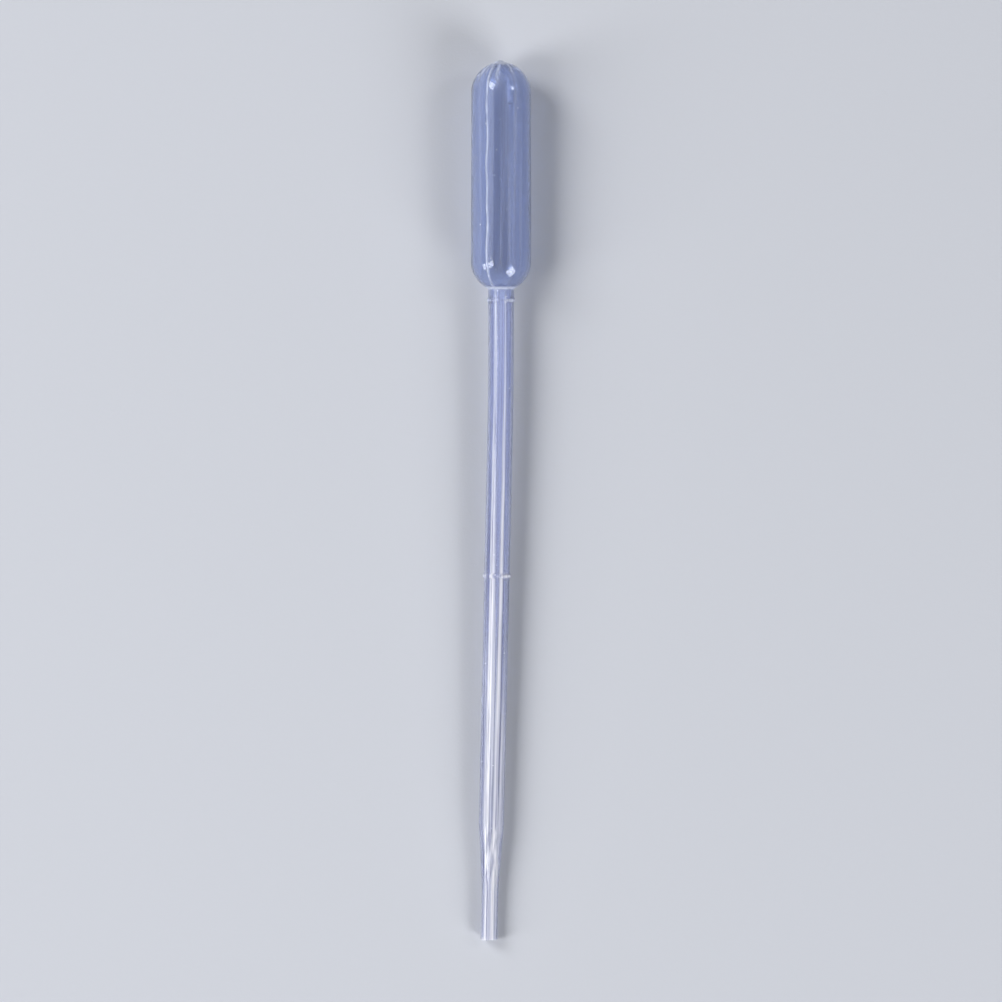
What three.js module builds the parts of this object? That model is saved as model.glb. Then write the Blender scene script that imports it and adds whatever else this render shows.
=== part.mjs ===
// Plastic dropper pipette: one blow-moulded piece of soft polyethylene, hollow from the
// squeeze bulb down to the cut tip. Lengths are in mm and angles in degrees.
//
// It lies along Y with the bulb at +Y and Z up, as it comes to rest on a table: on the
// bulb's belly and on the shoulder where the stem begins to narrow. A strip along its
// underside is slightly flat, so that it doesn't roll.

import * as THREE from 'three';

// Outside. Heights are measured along the axis from the cut tip.
const OVERALL_LENGTH = 150;
const BULB_DIAMETER = 10.3;
const BULB_LENGTH = 38.6; // from the crown to the corner where the stem leaves the bulb
const NECK_RADIUS = 0.35; // hollow fillet in that corner
const STEM_DIAMETER = 4.4;
const TIP_DIAMETER = 2.95;
const TIP_LENGTH = 9.2; // straight end below the taper
const TAPER_LENGTH = 10.8;
const TAPER_BLEND = 1.6; // length of each soft corner at the ends of the taper
const RIM_RADIUS = 0.15; // edge of the cut end

// Wall, thinner in the bulb because the tube is blown out further there.
const BULB_WALL = 0.35;
const STEM_WALL = 0.42;

// Volume marks: raised rings that run right round the stem, one just below the bulb.
const NECK_RING_DROP = 2; // below the corner under the bulb
const MIDDLE_RING_HEIGHT = 62.4;
const RING_WIDTH = 0.9;
const RING_RISE = 0.24;

// Parting line of the mould: a fine ridge down both sides of the whole piece.
const SEAM_WIDTH = 0.6;
const SEAM_RISE = 0.1;
const SEAM_END = 0.5; // the ridge fades out this far above the cut end

// Pinch-off scar on the crown, and the weld it leaves down the inside of the dome.
const PINCH_LENGTH = 4;
const PINCH_WIDTH = 1.6;
const PINCH_RISE = 0.3;
const PINCH_OFFSET = 0.5; // towards the upper seam
const WELD_WIDTH = 1.1;
const WELD_RISE = 0.14;
const WELD_DEPTH = 7; // how far below the crown it reaches

// Lasting bend of the soft stem: an arc, then straight on to the tip.
const BEND_DROP = 9.4; // below the corner under the bulb
const BEND_LENGTH = 15;
const BEND_ANGLE = 1.25;

// Fineness of the surface.
const SEAM_COLUMNS = [0, 3, 7]; // angles of the columns that carry each side of a ridge
const PLAIN_COLUMNS = 24; // between one ridge and the next
const REST_COLUMN = 2; // where the flat strip begins, in columns beyond the lower ridge
const REST_FLAT = 2; // columns that the flat strip is wide
const CROWN_STEPS = 14; // upper dome outside
const DOME_STEPS = 10; // upper dome inside
const BELLY_STEPS = 8;
const NECK_STEPS = 4;
const RING_STEPS = 6;
const RIM_STEPS = 3;
const BLEND_STEPS = 3;
const BEND_STEPS = 5;

const bulbRadius = BULB_DIAMETER / 2;
const stemRadius = STEM_DIAMETER / 2;
const tipRadius = TIP_DIAMETER / 2;
const crownCentre = OVERALL_LENGTH - bulbRadius;
const neckCorner = OVERALL_LENGTH - BULB_LENGTH;
const bellyCentre = neckCorner + Math.sqrt(bulbRadius ** 2 - stemRadius ** 2);
const shoulderHeight = TIP_LENGTH + TAPER_LENGTH;
const ringHeights = [neckCorner - NECK_RING_DROP, MIDDLE_RING_HEIGHT];
const ringRadius = (RING_WIDTH ** 2 / 4 + RING_RISE ** 2) / (2 * RING_RISE);
const bendStart = neckCorner - BEND_DROP;

const ridgeEdge = SEAM_COLUMNS.at(-1);
const columnStep = (180 - 2 * ridgeEdge) / PLAIN_COLUMNS;
const seamTurn = ridgeEdge + (REST_COLUMN + REST_FLAT / 2) * columnStep;

const radians = THREE.MathUtils.degToRad;

// Points of a circular arc in the (radius, height) plane, the first and last included.
function arc(centreRadius, centreHeight, radius, fromAngle, toAngle, steps) {
  const clockwise = toAngle < fromAngle;
  const curve = new THREE.EllipseCurve(
    centreRadius,
    centreHeight,
    radius,
    radius,
    radians(fromAngle),
    radians(toAngle),
    clockwise,
  );
  return curve.getPoints(steps);
}

// A corner softened over the given length on either side of it.
function softCorner(before, corner, after) {
  const start = corner.clone().lerp(before, TAPER_BLEND / corner.distanceTo(before));
  const end = corner.clone().lerp(after, TAPER_BLEND / corner.distanceTo(after));
  return new THREE.QuadraticBezierCurve(start, corner, end).getPoints(BLEND_STEPS);
}

// The upper dome from the axis down to its equator, its rows closer together near the axis.
function dome(radius, steps) {
  const rows = [new THREE.Vector2(0, crownCentre + radius)];
  for (let step = 1; step < steps; step += 1) {
    const angle = radians(90 * (step / steps) ** 1.5);
    const height = crownCentre + radius * Math.cos(angle);
    rows.push(new THREE.Vector2(radius * Math.sin(angle), height));
  }
  return [...rows, new THREE.Vector2(radius, crownCentre)];
}

// The lower dome and the fillet that carries it into a straight wall of the given radius.
function neck(domeRadius, wallRadius, filletRadius) {
  const reach = domeRadius + filletRadius;
  const filletAxis = wallRadius + filletRadius;
  const drop = Math.sqrt(reach ** 2 - filletAxis ** 2);
  const angle = THREE.MathUtils.radToDeg(Math.atan2(drop, filletAxis));
  return [
    ...arc(0, bellyCentre, domeRadius, 0, -angle, BELLY_STEPS),
    ...arc(filletAxis, bellyCentre - drop, filletRadius, 180 - angle, 180, NECK_STEPS).slice(1),
  ];
}

// How far a raised ring, the part of a circle, stands proud of the stem at a height.
function ringRise(height) {
  const rises = ringHeights.map((middle) => {
    const offset = Math.min(Math.abs(height - middle), RING_WIDTH / 2);
    return Math.sqrt(ringRadius ** 2 - offset ** 2) - (ringRadius - RING_RISE);
  });
  return Math.max(...rises);
}

// Heights of the rows that shape a ring, evenly spaced round its arc.
function ringRows(middle) {
  const reach = Math.asin(RING_WIDTH / 2 / ringRadius);
  const rows = [];
  for (let step = 0; step <= RING_STEPS; step += 1) {
    rows.push(middle + ringRadius * Math.sin(reach * (1 - (2 * step) / RING_STEPS)));
  }
  return rows;
}

// Heights of the rows that carry the bend.
function bendRows() {
  const rows = [];
  for (let step = 0; step <= BEND_STEPS; step += 1) {
    rows.push(bendStart - (step / BEND_STEPS) * BEND_LENGTH);
  }
  return rows;
}

// The stem's plain inner wall, from the bulb downwards.
function stemInside(radius) {
  return bendRows().map((height) => new THREE.Vector2(radius, height));
}

// The stem's outer wall with its rings, from the bulb downwards.
function stemOutside(radius) {
  const heights = [...bendRows(), ...ringHeights.flatMap(ringRows)].sort((a, b) => b - a);
  return heights.map((height) => new THREE.Vector2(radius + ringRise(height), height));
}

// The narrowing from the stem to the straight tip, from its upper end to its lower one.
function taper(upperRadius, lowerRadius) {
  const above = new THREE.Vector2(upperRadius, shoulderHeight + TAPER_LENGTH);
  const shoulder = new THREE.Vector2(upperRadius, shoulderHeight);
  const foot = new THREE.Vector2(lowerRadius, TIP_LENGTH);
  const below = new THREE.Vector2(lowerRadius, 0);
  return [...softCorner(above, shoulder, foot), ...softCorner(shoulder, foot, below)];
}

// Inner wall from the axis below the crown down to the mouth of the tip.
function insideProfile() {
  const bulb = bulbRadius - BULB_WALL;
  const stem = stemRadius - STEM_WALL;
  const tip = tipRadius - STEM_WALL;
  return [
    ...dome(bulb, DOME_STEPS),
    ...neck(bulb, stem, NECK_RADIUS + STEM_WALL),
    ...stemInside(stem),
    ...taper(stem, tip),
    new THREE.Vector2(tip, 0),
  ];
}

// Outer wall from the flat of the cut end up to the axis at the crown.
function outsideProfile() {
  const downwards = [
    ...dome(bulbRadius, CROWN_STEPS),
    ...neck(bulbRadius, stemRadius, NECK_RADIUS),
    ...stemOutside(stemRadius),
    ...taper(stemRadius, tipRadius),
    ...arc(tipRadius - RIM_RADIUS, RIM_RADIUS, RIM_RADIUS, 0, -90, RIM_STEPS),
  ];
  return downwards.reverse();
}

// Direction out of the wall at a row, square to the line between its neighbours.
function wallNormal(profile, row) {
  const before = profile[Math.max(row - 1, 0)];
  const after = profile[Math.min(row + 1, profile.length - 1)];
  const line = after.clone().sub(before).normalize();
  return new THREE.Vector2(line.y, -line.x);
}

// Angles of the columns of the surface, from the upper seam once round to it again. The flat
// strip of the lower half has no columns between its edges.
function columnAngles() {
  const half = [...SEAM_COLUMNS];
  for (let column = 1; column < PLAIN_COLUMNS; column += 1) {
    half.push(ridgeEdge + column * columnStep);
  }
  half.push(...SEAM_COLUMNS.map((angle) => 180 - angle).reverse());
  const withinFlat = ((REST_FLAT - 1) / 2) * columnStep;
  const lower = half.slice(1).filter((angle) => Math.abs(angle - seamTurn) >= withinFlat);
  return [...half, ...lower.map((angle) => angle + 180)];
}

// A smooth hump: 1 at the middle, 0 at a distance of 1 and beyond.
function hump(distance) {
  return Math.max(0, 1 - distance ** 2) ** 2;
}

// How far the outer wall is raised at a point, where `along` and `across` are its distances
// from the axis within the parting plane and from that plane.
function outsideRise(along, across, height) {
  const fade = THREE.MathUtils.smoothstep(height, SEAM_END / 2, SEAM_END);
  const seam = SEAM_RISE * fade * hump(across / (SEAM_WIDTH / 2));
  if (height < crownCentre) {
    return seam;
  }
  const lengthwise = hump((along - PINCH_OFFSET) / (PINCH_LENGTH / 2));
  const pinch = PINCH_RISE * lengthwise * hump(across / (PINCH_WIDTH / 2));
  return Math.hypot(seam, pinch);
}

// The weld stands inwards, and only inside the upper dome.
function insideRise(across, height) {
  const depth = OVERALL_LENGTH - height;
  return WELD_RISE * hump(across / (WELD_WIDTH / 2)) * hump(depth / WELD_DEPTH);
}

// The straight piece, tip at the origin and crown on +Y, its upper seam turned from +Z.
function straightBody() {
  const inside = insideProfile();
  const profile = [...inside, ...outsideProfile()];
  const angles = columnAngles();
  const body = new THREE.LatheGeometry(profile, angles.length - 1);
  const place = body.attributes.position;
  for (let index = 0; index < place.count; index += 1) {
    const row = index % profile.length;
    const angle = radians(angles[Math.floor(index / profile.length)]);
    const { x: radius, y: height } = profile[row];
    const along = radius * Math.cos(angle);
    const across = radius * Math.sin(angle);
    const onInside = row < inside.length;
    const rise = onInside ? insideRise(across, height) : outsideRise(along, across, height);
    const normal = wallNormal(profile, row);
    const newRadius = radius === 0 ? 0 : radius + normal.x * rise;
    const turned = angle - radians(seamTurn);
    place.setXYZ(
      index,
      newRadius * Math.sin(turned),
      height + normal.y * rise,
      newRadius * Math.cos(turned),
    );
  }
  return body;
}

// Bends the piece sideways within the plane of the table; every cross-section stays flat.
function bend(body) {
  const place = body.attributes.position;
  const bendRadius = BEND_LENGTH / radians(BEND_ANGLE);
  for (let index = 0; index < place.count; index += 1) {
    const below = bendStart - place.getY(index);
    if (below > 0) {
      const onArc = Math.min(below, BEND_LENGTH);
      const angle = onArc / bendRadius;
      const straightOn = below - onArc;
      const sideways = bendRadius * (1 - Math.cos(angle)) + straightOn * Math.sin(angle);
      const down = bendRadius * Math.sin(angle) + straightOn * Math.cos(angle);
      const x = place.getX(index);
      place.setX(index, x * Math.cos(angle) - sideways);
      place.setY(index, bendStart - down - x * Math.sin(angle));
    }
  }
}

// Slope of the axis at which the underside of the stem first meets the table.
function restSlope() {
  const stem = outsideProfile().filter((point) => point.y < neckCorner);
  const slopes = stem.map((point) => (bulbRadius - point.x) / (bellyCentre - point.y));
  return Math.min(...slopes);
}

// Tilts the piece until its flat strip touches the table at bulb and stem, then sets it down
// at z = 0 with the middle of its outline at the origin.
function layDown(body) {
  const flatness = Math.cos(radians((REST_FLAT * columnStep) / 2));
  body.rotateX(Math.asin(flatness * restSlope()));
  body.computeBoundingBox();
  const { min, max } = body.boundingBox;
  body.translate(-(min.x + max.x) / 2, -(min.y + max.y) / 2, -min.z);
}

function pipette() {
  const body = straightBody();
  bend(body);
  layDown(body);
  body.computeVertexNormals();
  const polyethylene = new THREE.MeshStandardMaterial({
    name: 'milky_polyethylene',
    color: 0xc3cbe6,
    roughness: 0.35,
    metalness: 0,
  });
  const mesh = new THREE.Mesh(body, polyethylene);
  mesh.name = 'pipette';
  return mesh;
}

const part = new THREE.Group();
part.name = 'dropper_pipette';
part.add(pipette());

export default part;
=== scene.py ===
from math import acos, asin, atan2, cos, degrees, hypot, pi, radians, sin, sqrt, tan

import bmesh
import bpy
from bpy.props import FloatProperty, FloatVectorProperty, PointerProperty
from mathutils import Matrix, Vector, noise


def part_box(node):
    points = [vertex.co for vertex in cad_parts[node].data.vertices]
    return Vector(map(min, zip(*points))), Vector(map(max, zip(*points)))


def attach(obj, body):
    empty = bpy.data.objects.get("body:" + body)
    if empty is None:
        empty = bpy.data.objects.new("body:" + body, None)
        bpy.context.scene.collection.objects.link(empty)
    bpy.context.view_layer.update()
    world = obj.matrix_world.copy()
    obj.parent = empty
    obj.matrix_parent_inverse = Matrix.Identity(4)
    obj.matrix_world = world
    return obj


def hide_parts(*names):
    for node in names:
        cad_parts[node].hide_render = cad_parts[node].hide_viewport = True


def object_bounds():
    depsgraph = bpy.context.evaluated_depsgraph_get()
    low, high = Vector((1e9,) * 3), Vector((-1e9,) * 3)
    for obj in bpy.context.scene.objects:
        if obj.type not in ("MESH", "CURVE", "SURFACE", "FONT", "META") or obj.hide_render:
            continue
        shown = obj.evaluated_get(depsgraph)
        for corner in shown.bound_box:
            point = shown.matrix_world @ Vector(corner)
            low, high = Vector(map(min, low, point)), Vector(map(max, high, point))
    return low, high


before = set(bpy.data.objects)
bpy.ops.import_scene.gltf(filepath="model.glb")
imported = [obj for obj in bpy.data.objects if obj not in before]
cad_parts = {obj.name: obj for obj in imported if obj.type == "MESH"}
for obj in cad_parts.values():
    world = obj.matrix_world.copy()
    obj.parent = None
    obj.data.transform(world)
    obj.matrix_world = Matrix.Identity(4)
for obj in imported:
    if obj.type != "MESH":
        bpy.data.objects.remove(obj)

bl_info = {
    "name": "Plastic Dropper Pipette",
    "version": (1, 0, 0),
    "blender": (4, 5, 0),
    "location": "View3D > Sidebar > Pipette",
    "description": "A dropper pipette blow-moulded in one piece from milky polyethylene",
    "category": "Add Mesh",
}

CAD_LOW, CAD_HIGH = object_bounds()
PIPETTE_LOW, PIPETTE_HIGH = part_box("pipette")

MM = 0.001

# The pipette's sizes in millimetres and degrees, as its solid has them. Heights are measured
# along the axis from the cut tip.
OVERALL_LENGTH = 150
BULB_LENGTH = 38.6  # from the crown to the corner where the stem leaves the bulb
NECK_RADIUS = 0.35
TIP_LENGTH = 9.2
TAPER_LENGTH = 10.8
TAPER_BLEND = 1.6
SHOULDER = TIP_LENGTH + TAPER_LENGTH  # height at which the stem begins to narrow
RIM_RADIUS = 0.15
MOUTH_RADIUS = 0.04
NECK_RING_DROP = 2
MIDDLE_RING_HEIGHT = 62.4
RING_WIDTH = 0.9
SEAM_WIDTH = 0.6
SEAM_END = 0.5
SEAM_TURN = 27.75  # of the upper seam from the top, towards -X
PINCH_LENGTH = 4
PINCH_WIDTH = 1.6
PINCH_OFFSET = 0.5
PINCH_RISE = 0.3
BEND_DROP = 9.4
BEND_LENGTH = 15
BEND_ANGLE = 1.25
REST_STRIP = 13.83  # angle of the flat strip on which it lies
END_GAP = 0.005  # between the cut end and the end of the solid's box

# The rows of the visible mesh down the wall, and its columns round it.
ROW_PITCH = 1.1
TIP_PITCH = 0.6
RING_PITCH = 0.06
RING_MARGIN = 0.1  # how far the finest rows reach past a ring
PITCH_DIVISOR = 3  # away from a ring, the pitch grows by its distance over this
DOME_STEPS = 44
INNER_DOME_STEPS = 32
DOME_CROWDING = 1.4  # above 1, the rows are closer near the crown
BELLY_STEPS = 36
FILLET_STEPS = 8
CORNER_STEPS = 8
TAPER_STEPS = 9
RIM_STEPS = 6
MOUTH_STEPS = 3
SEAM_SECTOR = 26  # angle of the finely divided sector over each seam
SEAM_STEPS = 34
PLAIN_STEPS = 46
MERGE_DISTANCE = 1e-4

# What moulding leaves on the round wall, in millimetres.
DRAFT = 0.07  # how much smaller the bulb's radius is at its upper end
SLOW_WAVES = (4, 9, 0.012)  # width, length and height
QUICK_WAVES = (1.6, 5, 0.005)
WAVE_SINK = 0.017  # keeps the crests of the waves at the true surface
FLUTE_SPREAD = 1.7  # radius at which the noise is read round the wall: more, more flutes
FLUTE_LENGTH = 14
FLUTE_HEIGHT = 0.05
FLUTE_SINK = 0.35  # share of the height by which they're set in
FLUTES_FULL = SHOULDER - 4  # the flutes are full below this height
FLUTES_END = 44  # and gone above this one
CALM_END = (0.1, 1.2)  # heights between which the cut end's calm gives way to the relief
INNER_SHARE = 0.8  # of the waves and flutes on the inside
OUTER_SEEDS = (3.1, 0.4)  # of the waves and of the flutes
INNER_SEEDS = (7.7, 2.9)
SEAM_STRAY = 0.2
SEAM_STRAY_LENGTH = 5
STRAY_DEPTHS = (1, 5)  # below the crown, between which the stray sets in
SEAM_LUMPS = 0.25  # share of the seam's height
SEAM_LUMP_LENGTH = 2.3
BURRS = ((-2.4, 2.3, 3.7), (-1.9, 1.15, 2.4))  # x, depth below the crown, z
BURR_RADIUS = 0.4
BURR_RISE = 0.15

# The weld that runs down inside the crown from the pinch, longer on the lower side, where it
# ends in a drop.
UPPER_WELD = (0.12, 0.42, 6)  # rise, half width and reach below the crown
LOWER_WELD = (0.15, 0.5, 7.6)
WELD_OFFSET = 0.75
WELD_SWAY = 0.14
WELD_SWAY_LENGTH = 1.1
WELD_LEAN = 0.4  # further out at the crown
WELD_UPRIGHT = (1, 3)  # depths between which the lean goes
DROP_DEPTH = 6.4
DROP_RISE = 0.22
DROP_RADIUS = 0.5
DROP_STRETCH = 1.3

# The cut, shorter at its sides than at its middle, and a little ragged.
CUT_REACH = 1.4
CUT_HOLLOW = 0.14
CUT_RAGGED = 0.05
RAGS_PER_MM = 1.4

# How milky each mark is, from 0 where the wall is clear to 1, and its extent in millimetres.
# The ring dashes and the stem's bands are partly painted highlights.
SEAM_MILK = 0.35
BULB_SEAM_MILK = 0.4  # added in the bulb
SEAM_MILK_REACH = 0.34
SEAM_MILK_BLEND = 1
LOWER_SEAM_MILK = 0.15
NECK_SEAM_MILK = 0.5
NECK_SEAM_REACH = 0.4
WELD_MILK = 1.4
WELD_SIDES = (0.2, 0.42)
WELD_FOOT = (6, 6.6)
DROP_SIDES = (0.34, 0.56)
CROWN_REACH = 0.9
FOLD_MILK = 0.75
FOLD_SWAY = 3  # in degrees
FOLD_SWAY_LENGTH = 1.5
# Folds below the pinched stub: angle from the upper seam, half width and reach.
FOLDS = ((-27, 11, 5.2), (-12, 4, 4), (20, 8, 6), (58, 9, 4.2))
CORNER_MILK = 0.8
CORNER_LIFT = 0.1
CORNER_REACH = 0.4
RING_MILK = 0.2
# Painted highlights on the rings: whiter, milkier lengths where the rings catch the light.
# Angle from the upper seam, half width and how milky.
RING_HIGHLIGHT_DASHES = ((80, 65, 0.9), (-50, 45, 1))
CUT_MILK = 0.6
CUT_MILK_HEIGHTS = (0.12, 0.35)
# Bands along the stem, milky plastic and painted highlight both, the first two where the
# lamps' streaks fall: angle from the upper seam, half width at the bulb and at the tip.
MILK_AND_HIGHLIGHT_BANDS = ((3, 9, 21), (47, 7, 22), (-70, 8, 18), (150, 6, 20), (-140, 6, 16))
BAND_MILK_AND_HIGHLIGHT = (0.62, 0.14)  # at the bulb, and added towards the tip, as in the next line
CLOUD_MILK = (0.1, 0.3)
TIP_MILK = 0.14
MILKIER_DROP = 4  # below the corner, where the stem starts to turn milkier
BAND_SWAY = 5  # in degrees
BAND_SWAY_LENGTH = 16
BAND_TOP = 0.5  # above the corner under the bulb
BAND_START = 3
CLOUD_SPREAD = 2.6
CLOUD_LENGTH = 45
CLOUD_EDGE = (-0.1, 0.5)
FINE_MILK = 0.1
FINE_PER_MM = 1.2
FINE_LENGTH = 50
FINE_EDGE = (-0.1, 0.6)
UNEVEN_MILK = (0.8, 0.4)  # mean and swing
UNEVEN_LENGTH = 1.7

# Where in the noise each unevenness along the piece is read.
UPPER_SEAM_COLUMN = (3, 1)
LOWER_SEAM_COLUMN = (3, 9)
LUMP_COLUMN = (0, 5)
MILK_COLUMN = (7, 2)
BAND_COLUMN = (1, 4)
FOLD_LEVEL = 3
CUT_LEVEL = 8
CLOUD_SEED = 2

# The patterns of the plastic, read at each point's place on the straight piece.
LINES_PER_MM = 3.2
LINE_STRETCH = 120  # how many times longer than wide the drawing lines are
LINE_RANGE = {"From Min": 0.3, "From Max": 0.7}  # the noise seldom leaves it
DIMPLES_PER_MM = 1.1
SPECKS_PER_MM = 0.5
PALE_HEIGHTS = {"From Min": 112, "From Max": 70}  # bluish haze above, nearly white below
STEM_HEIGHTS = {"From Min": 113, "From Max": 108}  # the bulb's darker tint, painted shade, above, the stem's below

# The soft boxes: name, angles from the vertical towards +X and +Y, width across the way to
# the vertical and length along it in metres, and brightness, where 1 is a white wall's.
LAMPS = (
    ("upper_left_box", -43, 30, 0.55, 0.8, 6.8),
    ("lower_left_box", -53, -26, 0.44, 1.2, 6.8),
    ("lower_right_box", 50, -52, 0.7, 0.7, 7.4),
    ("right_box", 46, 18, 0.28, 0.26, 7),
    ("left_panel", -40, 0, 1.6, 0.6, 0.7),
)
LAMP_DISTANCE = 1.4
BULB_MIDDLE = 0.055
FLOOR_REACH = 6
BACKDROP = {"From Min": 0.16, "From Max": 0.7}  # where the floor turns into its backdrop
SENSOR_WIDTH = 36
FRAME_SHARE = 0.88  # of the picture's height that the pipette takes


def linear(hex_colour):
    """An sRGB colour such as "C3CBE6" as linear red, green and blue."""
    parts = [int(hex_colour[i : i + 2], 16) / 255 for i in (0, 2, 4)]
    return [p / 12.92 if p <= 0.04045 else ((p + 0.055) / 1.055) ** 2.4 for p in parts]


class PipetteSettings(bpy.types.PropertyGroup):
    """Sizes and colours of the pipette"""

    bulb_diameter: FloatProperty(
        name="Bulb Diameter",
        description="Outside diameter of the squeeze bulb",
        default=10.3 * MM,
        min=4 * MM,
        precision=5,
        subtype="DISTANCE",
        unit="LENGTH",
    )
    stem_diameter: FloatProperty(
        name="Stem Diameter",
        description="Outside diameter of the long stem",
        default=4.4 * MM,
        min=2 * MM,
        precision=5,
        subtype="DISTANCE",
        unit="LENGTH",
    )
    tip_diameter: FloatProperty(
        name="Tip Diameter",
        description="Outside diameter of the straight tip below the taper",
        default=2.95 * MM,
        min=1.2 * MM,
        precision=5,
        subtype="DISTANCE",
        unit="LENGTH",
    )
    bulb_wall: FloatProperty(
        name="Bulb Wall",
        description="Thickness of the blown-out wall of the bulb",
        default=0.35 * MM,
        min=0.1 * MM,
        precision=5,
        subtype="DISTANCE",
        unit="LENGTH",
    )
    stem_wall: FloatProperty(
        name="Stem Wall",
        description="Thickness of the wall of the stem and the tip",
        default=0.42 * MM,
        min=0.1 * MM,
        precision=5,
        subtype="DISTANCE",
        unit="LENGTH",
    )
    ring_rise: FloatProperty(
        name="Ring Rise",
        description="How far the two volume rings stand proud of the stem",
        default=0.24 * MM,
        min=0.05 * MM,
        precision=5,
        subtype="DISTANCE",
        unit="LENGTH",
    )
    seam_rise: FloatProperty(
        name="Seam Rise",
        description="Height of the ridge that the mould's parting line leaves",
        default=0.1 * MM,
        min=0,
        precision=5,
        subtype="DISTANCE",
        unit="LENGTH",
    )
    # Painted shade: darker and greyer than the stem's tint, so the bulb's clear wall looks as
    # if shade lay behind it.
    shaded_bulb_tint: FloatVectorProperty(
        name="Bulb Tint",
        description="Colour of the clear plastic in the thin wall of the bulb",
        default=linear("CFD9F3"),
        size=3,
        min=0,
        max=1,
        subtype="COLOR",
    )
    stem_tint: FloatVectorProperty(
        name="Stem Tint",
        description="Colour of the clear plastic in the stem",
        default=linear("DDE3FA"),
        size=3,
        min=0,
        max=1,
        subtype="COLOR",
    )
    # Also the colour of the painted highlights on the neck ring and the upper stem's bands.
    haze_and_highlight_tint: FloatVectorProperty(
        name="Haze Tint",
        description="Colour of the milky seams in the bulb",
        default=linear("E6ECFE"),
        size=3,
        min=0,
        max=1,
        subtype="COLOR",
    )
    # Also the colour of the painted highlights on the middle ring and the lower stem's bands.
    tip_tint: FloatVectorProperty(
        name="Tip Tint",
        description="Colour of the milky bands near the tip",
        default=linear("F8F8FE"),
        size=3,
        min=0,
        max=1,
        subtype="COLOR",
    )
    # Painted shade: the dark colour mixed into the grooves between the stem's drawing lines.
    groove_shade_tint: FloatVectorProperty(
        name="Groove Tint",
        description="Colour of the grooves between the stem's drawing lines",
        default=linear("7F82AE"),
        size=3,
        min=0,
        max=1,
        subtype="COLOR",
    )
    depth_tint: FloatVectorProperty(
        name="Depth Tint",
        description="Colour that light takes on along its way through the wall",
        default=linear("8C9BCB"),
        size=3,
        min=0,
        max=1,
        subtype="COLOR",
    )


class StageSettings(bpy.types.PropertyGroup):
    """Floor, camera and light of the stage"""

    floor_colour: FloatVectorProperty(
        name="Floor Colour",
        description="Colour of the plain floor",
        default=linear("C9CCD4"),
        size=3,
        min=0,
        max=1,
        subtype="COLOR",
    )
    camera_height: FloatProperty(
        name="Camera Height",
        description="Distance of the camera above the floor",
        default=1.0,
        min=0.3,
        subtype="DISTANCE",
        unit="LENGTH",
    )
    lamp_level: FloatProperty(
        name="Lamp Level",
        description="Factor on the brightness of every soft box",
        default=1,
        min=0,
    )
    room_level: FloatProperty(
        name="Room Level",
        description="Strength of the even light from the room",
        default=0.05,
        min=0,
    )


def arc(centre_radius, centre_height, radius, start, end, steps):
    """Points of a circular arc in the (radius, height) plane, the first and last included."""
    angles = [radians(start + (end - start) * i / steps) for i in range(steps + 1)]
    return [
        Vector((centre_radius + radius * cos(a), centre_height + radius * sin(a)))
        for a in angles
    ]


def straight(radius, start, end, pitch=ROW_PITCH):
    """Points down a straight wall, without its first and last."""
    steps = max(1, round(abs(end - start) / pitch))
    return [Vector((radius, start + (end - start) * i / steps)) for i in range(1, steps)]


def soft_corner(before, corner, after):
    """A corner rounded by a curve that starts and ends the blend's length from it."""
    start = corner + (before - corner).normalized() * TAPER_BLEND
    end = corner + (after - corner).normalized() * TAPER_BLEND
    points = []
    for i in range(CORNER_STEPS + 1):
        t = i / CORNER_STEPS
        points.append(start * (1 - t) ** 2 + corner * 2 * t * (1 - t) + end * t**2)
    return points


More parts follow.
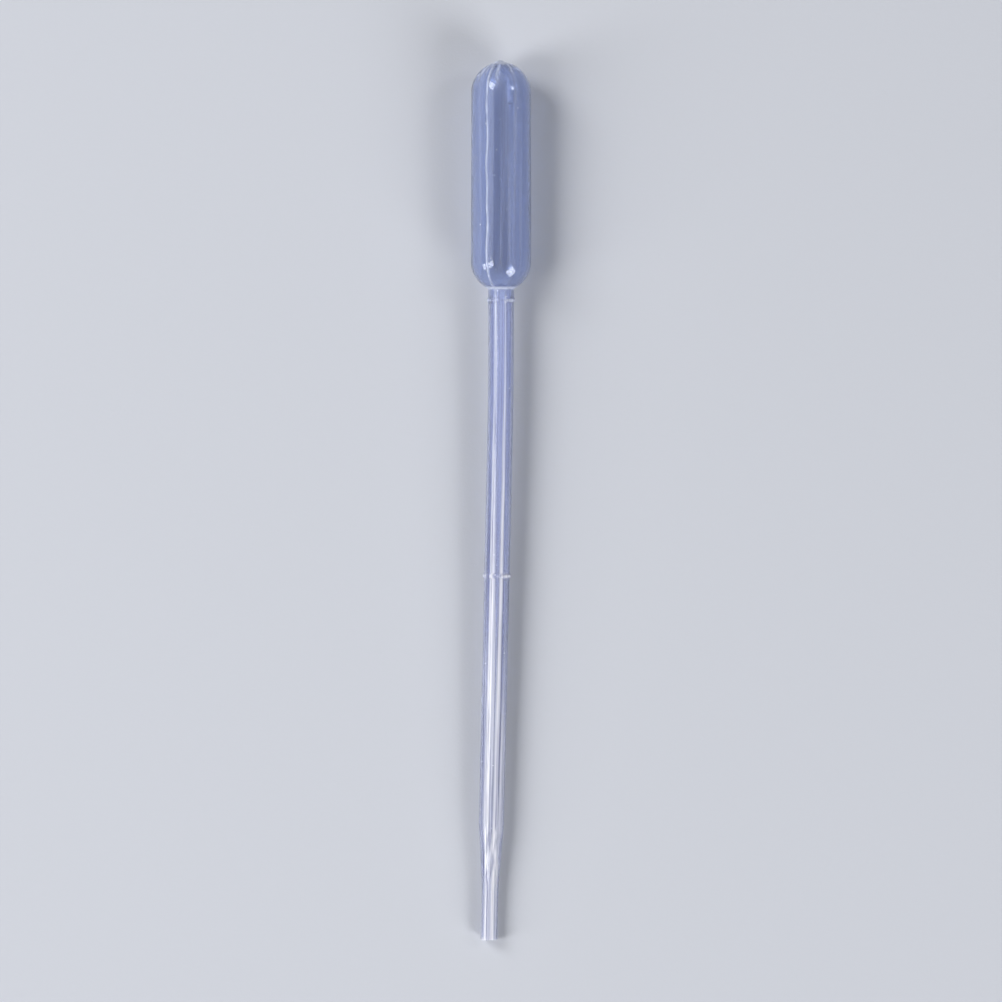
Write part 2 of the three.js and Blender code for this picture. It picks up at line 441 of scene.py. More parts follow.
class Outline:
    """The closed wall as a line in the (radius, height) plane.

    It runs from the crown down the outside, round the cut end and up the inside to the axis
    again.
    """

    def __init__(self, settings):
        self.bulb = settings.bulb_diameter / MM / 2
        self.stem = settings.stem_diameter / MM / 2
        self.tip = settings.tip_diameter / MM / 2
        self.bulb_wall = settings.bulb_wall / MM
        self.stem_wall = settings.stem_wall / MM
        self.ring_rise = settings.ring_rise / MM
        self.crown_centre = OVERALL_LENGTH - self.bulb
        self.neck_corner = OVERALL_LENGTH - BULB_LENGTH
        self.belly_centre = self.neck_corner + sqrt(self.bulb**2 - self.stem**2)
        self.ring_heights = (self.neck_corner - NECK_RING_DROP, MIDDLE_RING_HEIGHT)

    def dome(self, radius, steps):
        """The upper dome from the axis to its equator, its rows closer near the axis."""
        angles = [radians(90 * (i / steps) ** DOME_CROWDING) for i in range(steps + 1)]
        return [
            Vector((radius * sin(a), self.crown_centre + radius * cos(a))) for a in angles
        ]

    def belly(self, dome_radius, wall_radius, fillet):
        """The lower dome and the hollow fillet between it and the stem."""
        reach = dome_radius + fillet
        drop = sqrt(reach**2 - (wall_radius + fillet) ** 2)
        angle = acos((wall_radius + fillet) / reach) * 180 / pi
        ball = arc(0, self.belly_centre, dome_radius, 0, -angle, BELLY_STEPS)
        centre = self.belly_centre - drop
        hollow = arc(wall_radius + fillet, centre, fillet, 180 - angle, 180, FILLET_STEPS)
        return ball + hollow[1:]

    def ring_step(self, height):
        """How far the rings stand proud of the stem at a height."""
        ring_radius = (RING_WIDTH**2 / 4 + self.ring_rise**2) / (2 * self.ring_rise)
        off = min(min(abs(height - middle) for middle in self.ring_heights), RING_WIDTH / 2)
        return sqrt(ring_radius**2 - off**2) - (ring_radius - self.ring_rise)

    def stem_rows(self, top, bottom):
        """Heights of the stem's rows from top to bottom, closer together at the rings."""
        rows, height = [], top
        while height > bottom + ROW_PITCH / 2:
            near = min(abs(height - middle) for middle in self.ring_heights)
            if near < RING_WIDTH / 2 + RING_MARGIN:
                height -= RING_PITCH
            else:
                height -= min(ROW_PITCH, RING_PITCH + near / PITCH_DIVISOR)
            rows.append(height)
        return rows[:-1]

    def taper(self, upper, lower):
        """The narrowing from the stem to the straight tip."""
        above, corner = Vector((upper, SHOULDER + 1)), Vector((upper, SHOULDER))
        foot, below = Vector((lower, TIP_LENGTH)), Vector((lower, 0))
        first, last = soft_corner(above, corner, foot), soft_corner(corner, foot, below)
        between = [first[-1].lerp(last[0], i / TAPER_STEPS) for i in range(1, TAPER_STEPS)]
        return first + between + last

    def outside(self):
        wall = self.dome(self.bulb, DOME_STEPS)
        wall += straight(self.bulb, self.crown_centre, self.belly_centre)
        wall += self.belly(self.bulb, self.stem, NECK_RADIUS)
        taper = self.taper(self.stem, self.tip)
        for height in self.stem_rows(wall[-1].y, taper[0].y):
            wall.append(Vector((self.stem + self.ring_step(height), height)))
        wall += taper + straight(self.tip, taper[-1].y, RIM_RADIUS, TIP_PITCH)
        return wall + arc(self.tip - RIM_RADIUS, RIM_RADIUS, RIM_RADIUS, 0, -90, RIM_STEPS)

    def inside(self):
        bulb, stem = self.bulb - self.bulb_wall, self.stem - self.stem_wall
        tip = self.tip - self.stem_wall
        wall = self.dome(bulb, INNER_DOME_STEPS)
        wall += straight(bulb, self.crown_centre, self.belly_centre)
        wall += self.belly(bulb, stem, NECK_RADIUS + self.stem_wall)
        taper = self.taper(stem, tip)
        wall += straight(stem, wall[-1].y, taper[0].y)
        wall += taper + straight(tip, taper[-1].y, MOUTH_RADIUS, TIP_PITCH)
        mouth = arc(tip + MOUTH_RADIUS, MOUTH_RADIUS, MOUTH_RADIUS, 180, 270, MOUTH_STEPS)
        return (wall + mouth)[::-1]


def hump(distance):
    """A smooth hump: 1 at the middle, 0 at a distance of 1 and beyond."""
    return max(0, 1 - distance**2) ** 2


def smooth_step(value, low, high):
    """0 up to the low value, 1 from the high one, and a soft slope between."""
    t = min(max((value - low) / (high - low), 0), 1)
    return t * t * (3 - 2 * t)


def fade(value, low, high):
    """1 up to the low value, 0 from the high one, and a soft slope between."""
    return 1 - smooth_step(value, low, high)


def drift(height, length, column):
    """Unevenness along the piece, about -1 to 1, that changes over a length."""
    return noise.noise(Vector((column[0], height / length, column[1])))


def seam_wander(place):
    """How far the parting line strays sideways where the mould's halves met unevenly."""
    column = UPPER_SEAM_COLUMN if place.z > 0 else LOWER_SEAM_COLUMN
    stray = drift(place.y, SEAM_STRAY_LENGTH, column)
    return SEAM_STRAY * stray * smooth_step(OVERALL_LENGTH - place.y, *STRAY_DEPTHS)


def weld_wander(depth):
    """How far the weld inside the crown strays sideways at a depth below the crown."""
    lean = WELD_LEAN * fade(depth, *WELD_UPRIGHT)
    return WELD_SWAY * sin(depth / WELD_SWAY_LENGTH) - WELD_OFFSET - lean


def off_drop(across, depth):
    """Distance from the middle of the drop that ends the weld, which is a long one."""
    return hypot(across, (depth - DROP_DEPTH) / DROP_STRETCH)


def burr_hump(place):
    """1 at the middle of a burr on the shoulder of the upper dome, and 0 away from both."""
    near = min(
        hypot(place.x - x, OVERALL_LENGTH - place.y - depth, place.z - z)
        for x, depth, z in BURRS
    )
    return hump(near / BURR_RADIUS)


class Relief:
    """How far each point of the round wall is moved along its direction out of the wall.

    A point's place is on the straight piece, in millimetres: x across the mould's parting
    plane, z within it towards the upper seam, y up from the tip.
    """

    def __init__(self, outline, seam_rise):
        self.outline = outline
        self.seam_rise = seam_rise

    def flutes(self, place, seed):
        """Lengthwise flutes of the drawn-down tip, which fade out up the stem."""
        share = fade(place.y, FLUTES_FULL, FLUTES_END)
        round_the_wall = Vector((place.x, place.z)).normalized() * FLUTE_SPREAD
        spot = Vector((round_the_wall.x, round_the_wall.y, place.y / FLUTE_LENGTH + seed))
        return FLUTE_HEIGHT * share * (noise.noise(spot) - FLUTE_SINK)

    def waves(self, place, seed):
        """Slow unevenness of a wall that was blown against a cool mould."""
        rise = 0
        for (width, length, height), shift in ((SLOW_WAVES, seed), (QUICK_WAVES, -seed)):
            spot = Vector((place.x / width, place.y / length + shift, place.z / width))
            rise += height * noise.noise(spot)
        return rise - WAVE_SINK

    def uneven(self, place, seeds, share):
        """Waves and flutes together, calm near the cut end."""
        wave_seed, flute_seed = seeds
        wall = share * self.waves(place, wave_seed) + share * self.flutes(place, flute_seed)
        return wall * smooth_step(place.y, *CALM_END)

    def seam(self, place):
        """The ridge of the parting line, a little lumpy, on both sides of the piece."""
        lumps = 1 + SEAM_LUMPS * drift(place.y, SEAM_LUMP_LENGTH, LUMP_COLUMN)
        start = smooth_step(place.y, SEAM_END / 2, SEAM_END)
        across = (place.x - seam_wander(place)) / (SEAM_WIDTH / 2)
        return self.seam_rise * lumps * start * hump(across)

    def pinch(self, place):
        """The pinched-off stub on the crown, in the parting plane."""
        if place.y < self.outline.crown_centre:
            return 0
        lengthwise = hump((place.z - PINCH_OFFSET) / (PINCH_LENGTH / 2))
        return PINCH_RISE * lengthwise * hump(place.x / (PINCH_WIDTH / 2))

    def outside(self, place):
        """The waves, flutes and draft, and the seam, stub and burrs that stand proud."""
        up_the_bulb = smooth_step(place.y, self.outline.belly_centre, OVERALL_LENGTH)
        draft = DRAFT * up_the_bulb * min(1, hypot(place.x, place.z) / self.outline.bulb)
        proud = hypot(self.seam(place), self.pinch(place)) + BURR_RISE * burr_hump(place)
        return self.uneven(place, OUTER_SEEDS, 1) - draft + proud

    def inside(self, place):
        """The waves and flutes, and the weld inside the crown."""
        wall = self.uneven(place, INNER_SEEDS, INNER_SHARE)
        depth = OVERALL_LENGTH - place.y
        if place.z > 0:
            rise, half_width, reach = UPPER_WELD
            return wall + rise * hump(place.x / half_width) * hump(depth / reach)
        rise, half_width, reach = LOWER_WELD
        across = place.x - weld_wander(depth)
        bead = rise * hump(across / half_width) * hump(depth / reach)
        return wall + max(bead, DROP_RISE * hump(off_drop(across, depth) / DROP_RADIUS))

    def cut_end(self, place):
        """How far the cut stands back from a flat end."""
        spot = Vector((place.x * RAGS_PER_MM, place.z * RAGS_PER_MM, CUT_LEVEL))
        ragged = 0.5 + 0.5 * noise.noise(spot)
        hollow = CUT_HOLLOW * (place.x / self.outline.tip) ** 2
        return fade(place.y, 0, CUT_REACH) * (hollow + CUT_RAGGED * ragged)


def spun_wall(outline):
    """The wall as one closed surface about the Y axis, the upper seam on +Z.

    A layer keeps each vertex's direction out of the wall: its radial share, its lengthwise
    share, and 1 for the outside or -1 for the inside.
    """
    rows = outline.outside()
    mouth = len(rows)
    rows += outline.inside()
    bm = bmesh.new()
    layer = bm.verts.layers.float_vector.new("out_of_wall")
    verts = [bm.verts.new((0, p.y, p.x)) for p in rows]
    for i, v in enumerate(verts):
        line = rows[min(i + 1, len(rows) - 1)] - rows[max(i - 1, 0)]
        line.normalize()
        v[layer] = (-line.y, line.x, 1 if i < mouth else -1)
    edges = [bm.edges.new(pair) for pair in zip(verts, verts[1:])]
    half = radians(SEAM_SECTOR / 2)
    bmesh.ops.rotate(bm, verts=verts, matrix=Matrix.Rotation(-half, 3, "Y"))
    front = verts + edges
    for angle, steps in ((SEAM_SECTOR, SEAM_STEPS), (180 - SEAM_SECTOR, PLAIN_STEPS)) * 2:
        spun = bmesh.ops.spin(
            bm, geom=front, axis=(0, 1, 0), angle=radians(angle), steps=steps
        )
        front = spun["geom_last"]
    bmesh.ops.remove_doubles(bm, verts=bm.verts, dist=MERGE_DISTANCE)
    bmesh.ops.recalc_face_normals(bm, faces=bm.faces)
    return bm, layer


def raise_relief(bm, layer, relief):
    """Moves each vertex out of the wall by the relief at its place."""
    for v in bm.verts:
        radial, lengthwise, side = v[layer]
        place = v.co.copy()
        rise = relief.outside(place) if side > 0 else relief.inside(place)
        round_wall = Vector((place.x, 0, place.z))
        if round_wall.length > MERGE_DISTANCE:
            v.co += round_wall.normalized() * radial * rise
        v.co.y += lengthwise * rise + relief.cut_end(place)


def seam_milk(place, outline, uneven):
    """Milkiness of the parting line and of the weld that runs down inside the crown."""
    off_seam = abs(place.x - seam_wander(place))
    if place.z > 0:
        in_bulb = smooth_step(
            place.y, outline.neck_corner - SEAM_MILK_BLEND, outline.belly_centre
        )
        share = SEAM_MILK + BULB_SEAM_MILK * in_bulb
        return share * uneven * hump(off_seam / SEAM_MILK_REACH)
    line = LOWER_SEAM_MILK * uneven * hump(off_seam / SEAM_MILK_REACH)
    at_neck = fade(place.y, outline.neck_corner, outline.belly_centre + SEAM_MILK_BLEND)
    neck = NECK_SEAM_MILK * uneven * at_neck * hump(off_seam / NECK_SEAM_REACH)
    depth = OVERALL_LENGTH - place.y
    across = abs(place.x - weld_wander(depth))
    bead = fade(across, *WELD_SIDES) * fade(depth, *WELD_FOOT)
    drop = fade(off_drop(across, depth), *DROP_SIDES)
    return max(line, neck, WELD_MILK * bead, WELD_MILK * drop)


def crown_milk(place, turn, uneven):
    """Milkiness of the pinched crown, of the folds that fan out below it, and of the burrs."""
    depth = OVERALL_LENGTH - place.y
    sway = FOLD_SWAY * noise.noise(Vector((depth / FOLD_SWAY_LENGTH, 0, FOLD_LEVEL)))
    fan = max(
        hump(depth / reach) * hump((turn - angle - sway) / half_width)
        for angle, half_width, reach in FOLDS
    )
    return max(hump(depth / CROWN_REACH), FOLD_MILK * uneven * fan, burr_hump(place))


def crease_milk_and_highlight(place, outline, turn):
    """Milkiness of what was drawn white: the corner under the bulb, the rings, the cut end,
    and whiter dashes on the rings that are painted highlights.
    """
    off_corner = place.y - outline.neck_corner - CORNER_LIFT
    off_ring = min(abs(place.y - middle) for middle in outline.ring_heights)
    # Painted highlights: whiter dashes on the rings where they catch the light.
    highlight_dash = max(
        share * hump((turn - angle) / half_width) for angle, half_width, share in RING_HIGHLIGHT_DASHES
    )
    return max(
        CORNER_MILK * hump(off_corner / CORNER_REACH),
        max(RING_MILK, highlight_dash) * hump(off_ring / RING_WIDTH * 2),
        CUT_MILK * fade(place.y, *CUT_MILK_HEIGHTS),
    )


def stem_milk_and_highlight(place, outline, turn, down):
    """Milkiness of the bands and clouds along the stem, stronger towards the tip; the bands
    are partly painted highlights.
    """
    start = smooth_step(outline.neck_corner + BAND_TOP - place.y, 0, BAND_START)
    sway = BAND_SWAY * drift(place.y, BAND_SWAY_LENGTH, BAND_COLUMN)
    # Painted highlight and milk: bands round the stem, the first two where the lamps' streaks
    # fall.
    band = max(
        hump((turn - angle - sway) / (narrow + (wide - narrow) * down))
        for angle, narrow, wide in MILK_AND_HIGHLIGHT_BANDS
    )
    spot = Vector((place.x, place.z)).normalized() * CLOUD_SPREAD
    spot = Vector((spot.x, spot.y, place.y / CLOUD_LENGTH + CLOUD_SEED))
    cloud = smooth_step(noise.noise(spot), *CLOUD_EDGE)
    return max(
        start * (BAND_MILK_AND_HIGHLIGHT[0] + BAND_MILK_AND_HIGHLIGHT[1] * down) * band,
        (CLOUD_MILK[0] + CLOUD_MILK[1] * down) * cloud,
    )


def milk_and_painted_highlight(place, outline):
    """How milky the wall is at a place on the straight piece, from 0 where clear to 1, with
    the painted highlights on the rings and the stem's bands counted in.
    """
    turn = degrees(atan2(place.x, place.z))  # round the wall from the upper seam
    down = fade(place.y, SHOULDER, outline.neck_corner - MILKIER_DROP)
    mean, swing = UNEVEN_MILK
    uneven = mean + swing * drift(place.y, UNEVEN_LENGTH, MILK_COLUMN)
    spot = Vector((place.x * FINE_PER_MM, place.z * FINE_PER_MM, place.y / FINE_LENGTH))
    haze = max(
        seam_milk(place, outline, uneven),
        crown_milk(place, turn, uneven),
        crease_milk_and_highlight(place, outline, turn),
        FINE_MILK * smooth_step(noise.noise(spot), *FINE_EDGE),
    )
    if place.y < outline.neck_corner + BAND_TOP:
        haze = max(haze, stem_milk_and_highlight(place, outline, turn, down)) + TIP_MILK * down
    return min(haze, 1)


def keep_mould_place(bm, outline):
    """Keeps each vertex's place on the straight piece and how milky it is, painted highlights
    included, in two layers.

    Patterns that read the place, in millimetres, follow the wall round its bend.
    """
    mould_place = bm.verts.layers.float_vector.new("mould_place")
    milky = bm.verts.layers.float.new("milk_and_painted_highlight")
    for v in bm.verts:
        v[mould_place] = v.co
        v[milky] = milk_and_painted_highlight(v.co, outline)


def bend_stem(bm, outline):
    """The stem's lasting bend towards -X; each cross-section stays flat."""
    start = outline.neck_corner - BEND_DROP
    bend_radius = BEND_LENGTH / radians(BEND_ANGLE)
    for v in bm.verts:
        below = start - v.co.y
        if below > 0:
            angle = min(below, BEND_LENGTH) / bend_radius
            on = max(below - BEND_LENGTH, 0)
            sideways = bend_radius * (1 - cos(angle)) + on * sin(angle)
            down = bend_radius * sin(angle) + on * cos(angle)
            x = v.co.x
            v.co.x = x * cos(angle) - sideways
            v.co.y = start - down - x * sin(angle)


def lay_down(bm, outline):
    """Lays the piece where the solid lies, both bulb and stem on the table.

    It is tilted until both meet the table, and the strip that touches it is flattened.
    """
    stem = [p for p in outline.outside() if p.y < outline.neck_corner]
    slope = min((outline.bulb - p.x) / (outline.belly_centre - p.y) for p in stem)
    strip = cos(radians(REST_STRIP / 2))
    tilt = Matrix.Rotation(asin(strip * slope), 3, "X")
    bmesh.ops.rotate(bm, verts=bm.verts, matrix=tilt)
    lowest = (tilt @ Vector((0, outline.belly_centre, 0))).z - outline.bulb
    cut = min(v.co.y for v in bm.verts)
    low, high = PIPETTE_LOW / MM, PIPETTE_HIGH / MM
    rest = low.z - lowest - outline.bulb * (1 - strip)
    across = (low.x + high.x) / 2
    bmesh.ops.translate(bm, verts=bm.verts, vec=(across, low.y + END_GAP - cut, rest))
    for v in bm.verts:
        v.co.z = max(v.co.z, low.z)


def new_piece(name, bm, material):
    """A smooth-shaded object at the origin from a bmesh in millimetres."""
    bmesh.ops.scale(bm, verts=bm.verts, vec=(MM, MM, MM))
    mesh = bpy.data.meshes.new(name)
    bm.to_mesh(mesh)
    bm.free()
    mesh.shade_smooth()
    mesh.materials.append(material)
    piece = bpy.data.objects.new(name, mesh)
    bpy.context.scene.collection.objects.link(piece)
    return piece


def add_node(tree, kind, links=None, **settings):
    """Adds a node, with settings for its properties.

    links maps an input's name or number to a value or to another node's output.
    """
    node = tree.nodes.new(kind)
    for name, value in settings.items():
        setattr(node, name, value)
    for name, value in (links or {}).items():
        socket = node.inputs[name]
        if isinstance(value, bpy.types.NodeSocket):
            tree.links.new(value, socket)
        else:
            socket.default_value = value
    return node


def empty_material(name):
    """A material whose nodes are still to be added."""
    material = bpy.data.materials.new(name)
    material.use_nodes = True
    material.node_tree.nodes.clear()
    return material


def polyethylene_material(settings):
    """Blow-moulded low-density polyethylene: soft, waxy and half clear.

    The eye sees fine lengthwise drawing lines from the extruded tube, a slightly uneven skin,
    whitish seams and welds, and a stem that turns milkier towards the tip, where the wall was
    blown least. Its colour also holds painted light: shade in the stem's grooves and over the
    bulb, and highlights on the rings and along the stem.
    """
    material = empty_material("milky_blow_moulded_polyethylene")
    tree = material.node_tree
    place = add_node(tree, "ShaderNodeAttribute", attribute_name="mould_place")
    place = place.outputs["Vector"]
    # Milky marks from the mesh, with the painted highlights on the rings and the stem's bands
    # among them.
    milky = add_node(tree, "ShaderNodeAttribute", attribute_name="milk_and_painted_highlight").outputs["Fac"]
    height = add_node(tree, "ShaderNodeSeparateXYZ", {0: place}).outputs["Y"]

    # Drawing lines: about 0.3 mm apart round the wall and 40 mm long.
    along = add_node(
        tree, "ShaderNodeMapping", {"Vector": place, "Scale": (1, 1 / LINE_STRETCH, 1)}
    )
    lines = add_node(
        tree,
        "ShaderNodeTexNoise",
        {
            "Vector": along.outputs[0],
            "Scale": LINES_PER_MM,
            "Detail": 3,
            "Roughness": 0.55,
        },
    ).outputs["Fac"]
    # Skin: dimples about 1 mm across from the mould's blasted face.
    skin = add_node(
        tree,
        "ShaderNodeTexNoise",
        {"Vector": place, "Scale": DIMPLES_PER_MM, "Detail": 2, "Roughness": 0.5},
    )
    # Specks: tiny gels and bubbles about 0.2 mm across, a few millimetres apart.
    cells = add_node(
        tree, "ShaderNodeTexVoronoi", {"Vector": place, "Scale": SPECKS_PER_MM}
    )
    speck = add_node(
        tree,
        "ShaderNodeMapRange",
        {"Value": cells.outputs["Distance"], "From Min": 0.08, "From Max": 0.02},
        interpolation_type="SMOOTHSTEP",
    )

    # The drawing lines streak the milky marks, painted highlights among them, and the
    # strongest are pale threads everywhere.
    streaked = add_node(
        tree,
        "ShaderNodeMapRange",
        {"Value": lines, **LINE_RANGE, "To Min": 0.55, "To Max": 1.35},
    )
    thread = add_node(
        tree,
        "ShaderNodeMapRange",
        {"Value": lines, "From Min": 0.5, "From Max": 0.72, "To Max": 0.16},
    )
    cloudy = add_node(
        tree,
        "ShaderNodeMath",
        {0: milky, 1: streaked.outputs[0], 2: thread.outputs[0]},
        operation="MULTIPLY_ADD",
    )
    haze = add_node(
        tree,
        "ShaderNodeMath",
        {0: cloudy.outputs[0], 1: speck.outputs[0]},
        operation="MAXIMUM",
        use_clamp=True,
    ).outputs[0]

    # Thin haze scatters bluish light, and the thicker wall towards the tip nearly white.
    towards_tip = add_node(tree, "ShaderNodeMapRange", {"Value": height, **PALE_HEIGHTS})
    pale = add_node(
        tree,
        "ShaderNodeMix",
        {
            "Factor": towards_tip.outputs[0],
            6: [*settings.haze_and_highlight_tint, 1],
            7: [*settings.tip_tint, 1],
        },
        data_type="RGBA",
    )
    below_bulb = add_node(
        tree,
        "ShaderNodeMapRange",
        {"Value": height, **STEM_HEIGHTS},
        interpolation_type="SMOOTHSTEP",
    )
    # The bulb's clear tint is darker than the stem's: painted shade.
    clear_tint = add_node(
        tree,
        "ShaderNodeMix",
        {
            "Factor": below_bulb.outputs[0],
            6: [*settings.shaded_bulb_tint, 1],
            7: [*settings.stem_tint, 1],
        },
        data_type="RGBA",
    )
    hazed = add_node(
        tree,
        "ShaderNodeMix",
        {"Factor": haze, 6: clear_tint.outputs[2], 7: pale.outputs[2]},
        data_type="RGBA",
    )
    # Painted shade: the grooves between the stem's drawing lines are darkened in the colour,
    # as if shade gathered in them.
    groove = add_node(
        tree,
        "ShaderNodeMapRange",
        {"Value": lines, "From Min": 0.46, "From Max": 0.36, "To Max": 0.62},
    )
    shaded = add_node(
        tree,
        "ShaderNodeMath",
        {0: groove.outputs[0], 1: below_bulb.outputs[0]},
        operation="MULTIPLY",
    )
    colour = add_node(
        tree,
        "ShaderNodeMix",
        {
            "Factor": shaded.outputs[0],
            6: hazed.outputs[2],
            7: [*settings.groove_shade_tint, 1],
        },
        data_type="RGBA",
    )
    clear = add_node(
        tree, "ShaderNodeMapRange", {"Value": haze, "To Min": 0.94, "To Max": 0.12}
    )
    fine = add_node(
        tree,
        "ShaderNodeMapRange",
        {"Value": lines, **LINE_RANGE, "To Min": 0.04, "To Max": 0.1},
    )
    rough = add_node(
        tree,
        "ShaderNodeMath",
        {0: haze, 1: 0.1, 2: fine.outputs[0]},
        operation="MULTIPLY_ADD",
    )

    # Bumps of 0.007 to 0.03 mm, each on top of the one before.
    bumped = {}
    for pattern, rise in (
        (skin.outputs["Fac"], 0.015),
        (lines, 0.007),
        (speck.outputs[0], 0.03),
    ):
        bump = add_node(
            tree,
            "ShaderNodeBump",
            {"Height": pattern, "Distance": rise * MM, **bumped},
        )
        bumped = {"Normal": bump.outputs[0]}
    plastic = add_node(
        tree,
        "ShaderNodeBsdfPrincipled",
        {
            "Base Color": colour.outputs[2],
            "Roughness": rough.outputs[0],
            "IOR": 1.51,
            "Transmission Weight": clear.outputs[0],
            "Sheen Weight": 0.6,
            "Sheen Roughness": 0.22,
            "Sheen Tint": [*settings.stem_tint, 1],
            **bumped,
        },
    )
    depth = add_node(
        tree,
        "ShaderNodeVolumeAbsorption",
        {"Color": [*settings.depth_tint, 1], "Density": 90},
    )
    add_node(
        tree,
        "ShaderNodeOutputMaterial",
        {"Surface": plastic.outputs[0], "Volume": depth.outputs[0]},
    )
    return material


class PIPETTE_OT_build(bpy.types.Operator):
    """Builds the pipette: bulb, stem, rings, tip and mould seams in one hollow wall"""

    bl_idname = "pipette.build"
    bl_label = "Build Pipette"

    def execute(self, context):
        settings = context.scene.pipette
        outline = Outline(settings)
        bm, layer = spun_wall(outline)
        raise_relief(bm, layer, Relief(outline, settings.seam_rise / MM))
        keep_mould_place(bm, outline)
        turn = Matrix.Rotation(radians(-SEAM_TURN), 3, "Y")
        bmesh.ops.rotate(bm, verts=bm.verts, matrix=turn)
        bend_stem(bm, outline)
        lay_down(bm, outline)
        piece = new_piece("pipette_body", bm, polyethylene_material(settings))
        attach(piece, "root")
        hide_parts("pipette")
        return {"FINISHED"}


def seen_directly(tree):
    """1 for what is seen, straight, through glass or mirrored, and 0 for light on its way."""
    path = add_node(tree, "ShaderNodeLightPath")
    seen = path.outputs["Is Camera Ray"]
    for kind in ("Is Transmission Ray", "Is Glossy Ray"):
        seen = add_node(
            tree, "ShaderNodeMath", {0: seen, 1: path.outputs[kind]}, operation="MAXIMUM"
        ).outputs[0]
    return seen


def floor_material(colour):
    """Matt painted board: even, with a fine tooth of about half a millimetre.

    Away from the piece it turns into a backdrop of its own colour.
    """
    material = empty_material("pale_matt_floor")
    tree = material.node_tree
    place = add_node(tree, "ShaderNodeTexCoord").outputs["Object"]
    tooth = add_node(tree, "ShaderNodeTexNoise", {"Vector": place, "Scale": 2000})
    bump = add_node(
        tree, "ShaderNodeBump", {"Height": tooth.outputs["Fac"], "Distance": 0.02 * MM}
    )
    board = add_node(
        tree,
        "ShaderNodeBsdfPrincipled",
        {
            "Base Color": [*colour, 1],
            "Roughness": 0.8,
            "Specular IOR Level": 0.15,
            "Normal": bump.outputs[0],
        },
    )
    distance = add_node(tree, "ShaderNodeVectorMath", {0: place}, operation="LENGTH")
    away = add_node(
        tree,
        "ShaderNodeMapRange",
        {"Value": distance.outputs["Value"], **BACKDROP},
        interpolation_type="SMOOTHSTEP",
    )
    share = add_node(
        tree,
        "ShaderNodeMath",
        {0: away.outputs[0], 1: seen_directly(tree)},
        operation="MULTIPLY",
    )
    backdrop = add_node(tree, "ShaderNodeEmission", {"Color": [*colour, 1], "Strength": 1})
    surface = add_node(
        tree,
        "ShaderNodeMixShader",
        {0: share.outputs[0], 1: board.outputs[0], 2: backdrop.outputs[0]},
    )
    add_node(tree, "ShaderNodeOutputMaterial", {"Surface": surface.outputs[0]})
    return material


def add_floor(colour):
    """The floor, at the height on which the piece lies."""
    bm = bmesh.new()
    bmesh.ops.create_grid(bm, x_segments=2, y_segments=2, size=FLOOR_REACH / MM)
    floor = new_piece("floor", bm, floor_material(colour))
    floor.data.transform(Matrix.Translation((0, 0, CAD_LOW.z)))


def add_lamp(name, across, along, size, radiance):
    """A soft box that faces the bulb from the angles across and along to the vertical."""
    light = bpy.data.lights.new(name, "AREA")
    light.shape = "RECTANGLE"
    light.size, light.size_y = size
    light.energy = radiance * pi * size[0] * size[1]
    lamp = bpy.data.objects.new(name, light)
    way = Vector((tan(radians(across)), tan(radians(along)), 1)).normalized()
    lamp.location = Vector((0, BULB_MIDDLE, 0)) + way * LAMP_DISTANCE
    lamp.rotation_euler = way.to_track_quat("Z", "Y").to_euler()
    bpy.context.scene.collection.objects.link(lamp)


def set_world(strength, backdrop_colour):
    """Even soft light from the room, and the pale backdrop that is seen in its place."""
    world = bpy.data.worlds.new("studio_room")
    world.use_nodes = True
    tree = world.node_tree
    tree.nodes.clear()
    room = add_node(
        tree,
        "ShaderNodeBackground",
        {"Color": [*linear("E8ECF4"), 1], "Strength": strength},
    )
    backdrop = add_node(
        tree, "ShaderNodeBackground", {"Color": [*backdrop_colour, 1], "Strength": 1}
    )
    mix = add_node(
        tree,
        "ShaderNodeMixShader",
        {0: seen_directly(tree), 1: room.outputs[0], 2: backdrop.outputs[0]},
    )
    add_node(tree, "ShaderNodeOutputWorld", {"Surface": mix.outputs[0]})
    bpy.context.scene.world = world


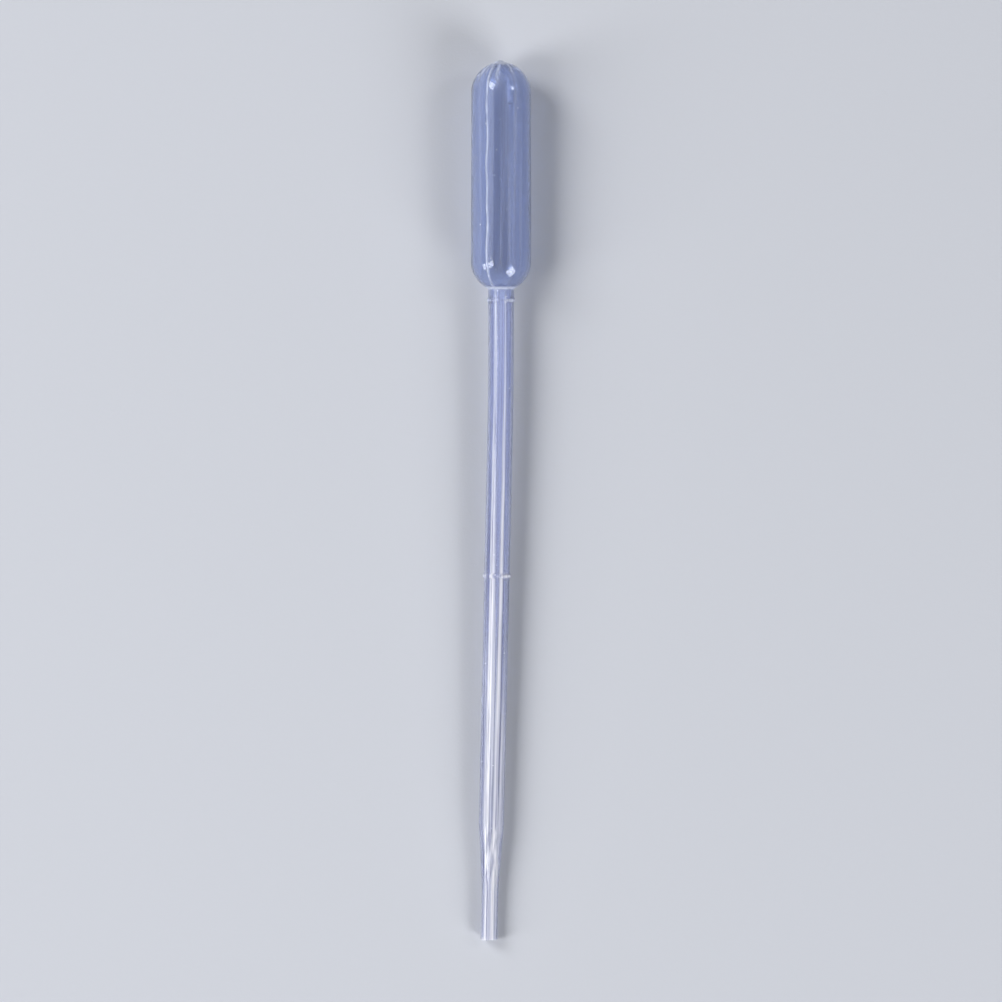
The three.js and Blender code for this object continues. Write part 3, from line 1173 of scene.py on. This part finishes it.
def add_camera(height):
    """A camera straight above, the bulb at the top of its picture."""
    data = bpy.data.cameras.new("camera")
    centre = (CAD_LOW + CAD_HIGH) / 2
    camera = bpy.data.objects.new("camera", data)
    camera.location = (centre.x, centre.y, CAD_LOW.z + height)
    length = CAD_HIGH.y - CAD_LOW.y
    data.sensor_width = SENSOR_WIDTH
    data.lens = SENSOR_WIDTH * (height - centre.z) * FRAME_SHARE / length
    data.clip_start, data.clip_end = 0.01, 20
    bpy.context.scene.collection.objects.link(camera)
    bpy.context.scene.camera = camera


class PIPETTE_OT_stage(bpy.types.Operator):
    """Sets the plain floor, the soft studio lamps and the camera"""

    bl_idname = "pipette.stage"
    bl_label = "Set Stage"

    def execute(self, context):
        settings = context.scene.pipette_stage
        add_floor(settings.floor_colour)
        for name, across, along, width, length, radiance in LAMPS:
            add_lamp(name, across, along, (width, length), radiance * settings.lamp_level)
        set_world(settings.room_level, settings.floor_colour)
        add_camera(settings.camera_height)
        context.scene.view_settings.view_transform = "Standard"
        return {"FINISHED"}


class PIPETTE_PT_panel(bpy.types.Panel):
    """Sizes and colours of the pipette and its stage"""

    bl_label = "Dropper Pipette"
    bl_idname = "PIPETTE_PT_panel"
    bl_space_type = "VIEW_3D"
    bl_region_type = "UI"
    bl_category = "Pipette"

    def draw(self, context):
        for settings, operator in (
            (context.scene.pipette, PIPETTE_OT_build),
            (context.scene.pipette_stage, PIPETTE_OT_stage),
        ):
            column = self.layout.column()
            for name in type(settings).__annotations__:
                column.prop(settings, name)
            column.operator(operator.bl_idname)


CLASSES = (
    PipetteSettings,
    StageSettings,
    PIPETTE_OT_build,
    PIPETTE_OT_stage,
    PIPETTE_PT_panel,
)


def register():
    for cls in CLASSES:
        bpy.utils.register_class(cls)
    bpy.types.Scene.pipette = PointerProperty(type=PipetteSettings)
    bpy.types.Scene.pipette_stage = PointerProperty(type=StageSettings)


def unregister():
    del bpy.types.Scene.pipette_stage
    del bpy.types.Scene.pipette
    for cls in reversed(CLASSES):
        bpy.utils.unregister_class(cls)


def main():
    register()
    bpy.ops.pipette.build()
    bpy.ops.pipette.stage()


if __name__ == "__main__":
    main()
